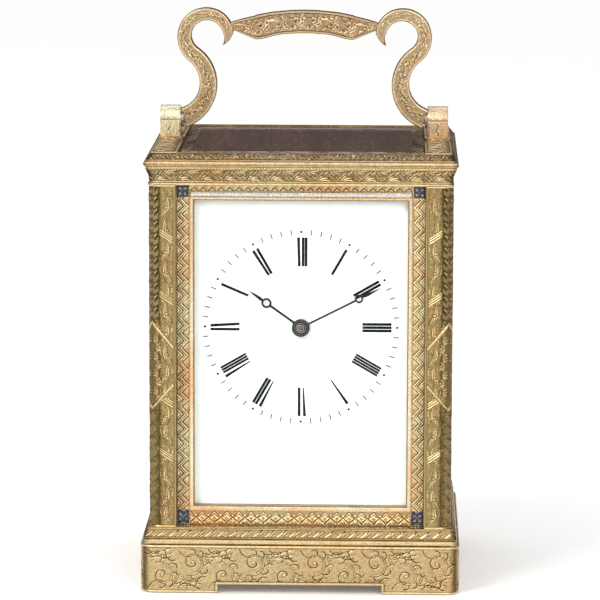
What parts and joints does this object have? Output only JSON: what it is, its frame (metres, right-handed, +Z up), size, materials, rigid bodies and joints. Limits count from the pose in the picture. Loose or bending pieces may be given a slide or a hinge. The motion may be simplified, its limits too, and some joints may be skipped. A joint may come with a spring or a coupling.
{
  "type": "mantel clock",
  "caption": "Glazed brass carriage-style mantel clock with engraved case, folding scroll handle, white dial, rear door and a geared spring movement with lever platform",
  "frame": {"origin": "centre of the footprint on the surface the clock stands on", "axes": "+X to the clock's right as it is looked at, +Y to the back, +Z up; the dial faces -Y"},
  "size_m": [0.095, 0.082, 0.1722],
  "materials": {
    "gilt_engraved": "engraved gilt brass",
    "gilt_plain": "polished gilt brass",
    "movement_brass": "grained brass",
    "fixing_steel": "turned steel",
    "polished_steel": "polished steel",
    "blued_steel": "heat-blued steel",
    "hand_steel": "dark blued steel",
    "spring_steel": "tempered spring steel",
    "dial_enamel": "white enamel on copper",
    "copper": "copper",
    "ruby": "synthetic ruby",
    "pane_glass": "bevelled plate glass"
  },
  "bodies": {
    "case": {"base_plinth": "gilt_engraved", "base_deck": "gilt_engraved", "pillar_front_left": "gilt_engraved", "pillar_front_right": "gilt_engraved", "pillar_rear_left": "gilt_engraved", "pillar_rear_right": "gilt_engraved", "cornice": "gilt_engraved", "dial_mask": "gilt_engraved", "handle_bracket_left": "gilt_plain", "handle_bracket_right": "gilt_plain", "base_screws": "fixing_steel", "bracket_screws": "fixing_steel", "handle_pivot_pins": "fixing_steel", "top_glass": "pane_glass", "front_glass": "pane_glass", "left_glass": "pane_glass", "right_glass": "pane_glass", "dial": "dial_enamel", "dial_feet": "copper", "movement_front_plate": "movement_brass", "movement_back_plate": "movement_brass", "movement_pillars": "movement_brass", "movement_blocks": "movement_brass", "platform_plate": "movement_brass", "escape_cock": "movement_brass", "balance_cock": "movement_brass", "movement_screws": "blued_steel", "platform_screws": "blued_steel", "click_spring": "polished_steel"},
    "handle": {"handle_scroll_left": "gilt_engraved", "handle_scroll_right": "gilt_engraved", "handle_grip": "gilt_engraved"},
    "rear_door": {"rear_door_frame": "gilt_plain", "rear_door_glass": "pane_glass", "rear_door_hinge_pins": "fixing_steel", "rear_door_knob": "gilt_plain"},
    "centre_arbor": {"centre_wheel": "movement_brass", "cannon_pinion": "polished_steel", "minute_hand": "hand_steel", "hand_collet": "hand_steel"},
    "minute_work": {"minute_wheel": "movement_brass"},
    "hour_work": {"hour_wheel": "movement_brass", "hour_hand": "hand_steel"},
    "going_barrel": {"barrel": "movement_brass", "barrel_cover": "movement_brass", "mainspring": "spring_steel"},
    "winding_arbor": {"barrel_arbor": "polished_steel", "ratchet_wheel": "polished_steel"},
    "click": {"click": "polished_steel"},
    "intermediate": {"intermediate_wheel": "movement_brass"},
    "third": {"third_wheel": "movement_brass"},
    "contrate": {"contrate_wheel": "movement_brass"},
    "escape": {"escape_wheel": "movement_brass", "escape_pinion": "polished_steel"},
    "lever": {"pallet_lever": "polished_steel", "pallet_stones": "ruby"},
    "balance": {"balance_wheel": "movement_brass", "hairspring": "spring_steel"},
    "regulator": {"regulator_index": "polished_steel"}
  },
  "joints": [
    {"name": "centre_spin", "type": "hinge", "parent": "case", "child": "centre_arbor", "pos_m": [0, 0, 0.0794], "axis": [0, 1, 0], "continuous": true},
    {"name": "intermediate_spin", "type": "hinge", "parent": "case", "child": "intermediate", "pos_m": [0.00929, 0, 0.0684], "axis": [0, 1, 0], "continuous": true},
    {"name": "barrel_spin", "type": "hinge", "parent": "case", "child": "going_barrel", "pos_m": [-0.00496, 0, 0.05415], "axis": [0, 1, 0], "continuous": true},
    {"name": "third_spin", "type": "hinge", "parent": "case", "child": "third", "pos_m": [0.00855, 0, 0.08985], "axis": [0, 1, 0], "continuous": true},
    {"name": "contrate_spin", "type": "hinge", "parent": "case", "child": "contrate", "pos_m": [0, 0, 0.0975], "axis": [0, 1, 0], "continuous": true},
    {"name": "escape_spin", "type": "hinge", "parent": "case", "child": "escape", "pos_m": [0, 0.002, 0.1126], "axis": [0, 0, 1], "continuous": true},
    {"name": "minute_work_spin", "type": "hinge", "parent": "case", "child": "minute_work", "pos_m": [-0.0096, 0, 0.0722], "axis": [0, 1, 0], "continuous": true},
    {"name": "hour_spin", "type": "hinge", "parent": "case", "child": "hour_work", "pos_m": [0, 0, 0.0794], "axis": [0, 1, 0], "continuous": true},
    {"name": "handle_swing", "type": "hinge", "parent": "case", "child": "handle", "pos_m": [0, 0, 0.138], "axis": [1, 0, 0], "range_deg": [-92, 92]},
    {"name": "rear_door_swing", "type": "hinge", "parent": "case", "child": "rear_door", "pos_m": [0.03525, 0.0377, 0.07], "axis": [0, 0, -1], "range_deg": [0, 100]},
    {"name": "winding_turn", "type": "hinge", "parent": "case", "child": "winding_arbor", "pos_m": [-0.00496, 0, 0.05415], "axis": [0, 1, 0], "range_deg": [0, 1980], "deforming": ["mainspring"]},
    {"name": "click_lift", "type": "hinge", "parent": "case", "child": "click", "pos_m": [0.00225, 0, 0.06064], "axis": [0, 1, 0], "range_deg": [0, 18], "stiffness_Nm_per_rad": 0.002, "springref_deg": -5.73, "deforming": ["click_spring"]},
    {"name": "lever_rock", "type": "hinge", "parent": "case", "child": "lever", "pos_m": [0, -0.00216, 0.1126], "axis": [0, 0, 1], "range_deg": [-5, 5]},
    {"name": "balance_swing", "type": "hinge", "parent": "case", "child": "balance", "pos_m": [0, -0.00916, 0.1146], "axis": [0, 0, 1], "range_deg": [-270, 270], "stiffness_Nm_per_rad": 0.00001, "deforming": ["hairspring"]},
    {"name": "regulator_turn", "type": "hinge", "parent": "case", "child": "regulator", "pos_m": [0, -0.00916, 0.1181], "axis": [0, 0, 1], "range_deg": [-30, 30]}
  ],
  "couplings": [
    {"joint": "intermediate_spin", "follows": "centre_spin", "ratio": -0.2},
    {"joint": "barrel_spin", "follows": "centre_spin", "ratio": 0.028571},
    {"joint": "third_spin", "follows": "centre_spin", "ratio": -8},
    {"joint": "contrate_spin", "follows": "centre_spin", "ratio": 60},
    {"joint": "escape_spin", "follows": "centre_spin", "ratio": 600},
    {"joint": "minute_work_spin", "follows": "centre_spin", "ratio": -0.33333},
    {"joint": "hour_spin", "follows": "centre_spin", "ratio": 0.083333}
  ]
}
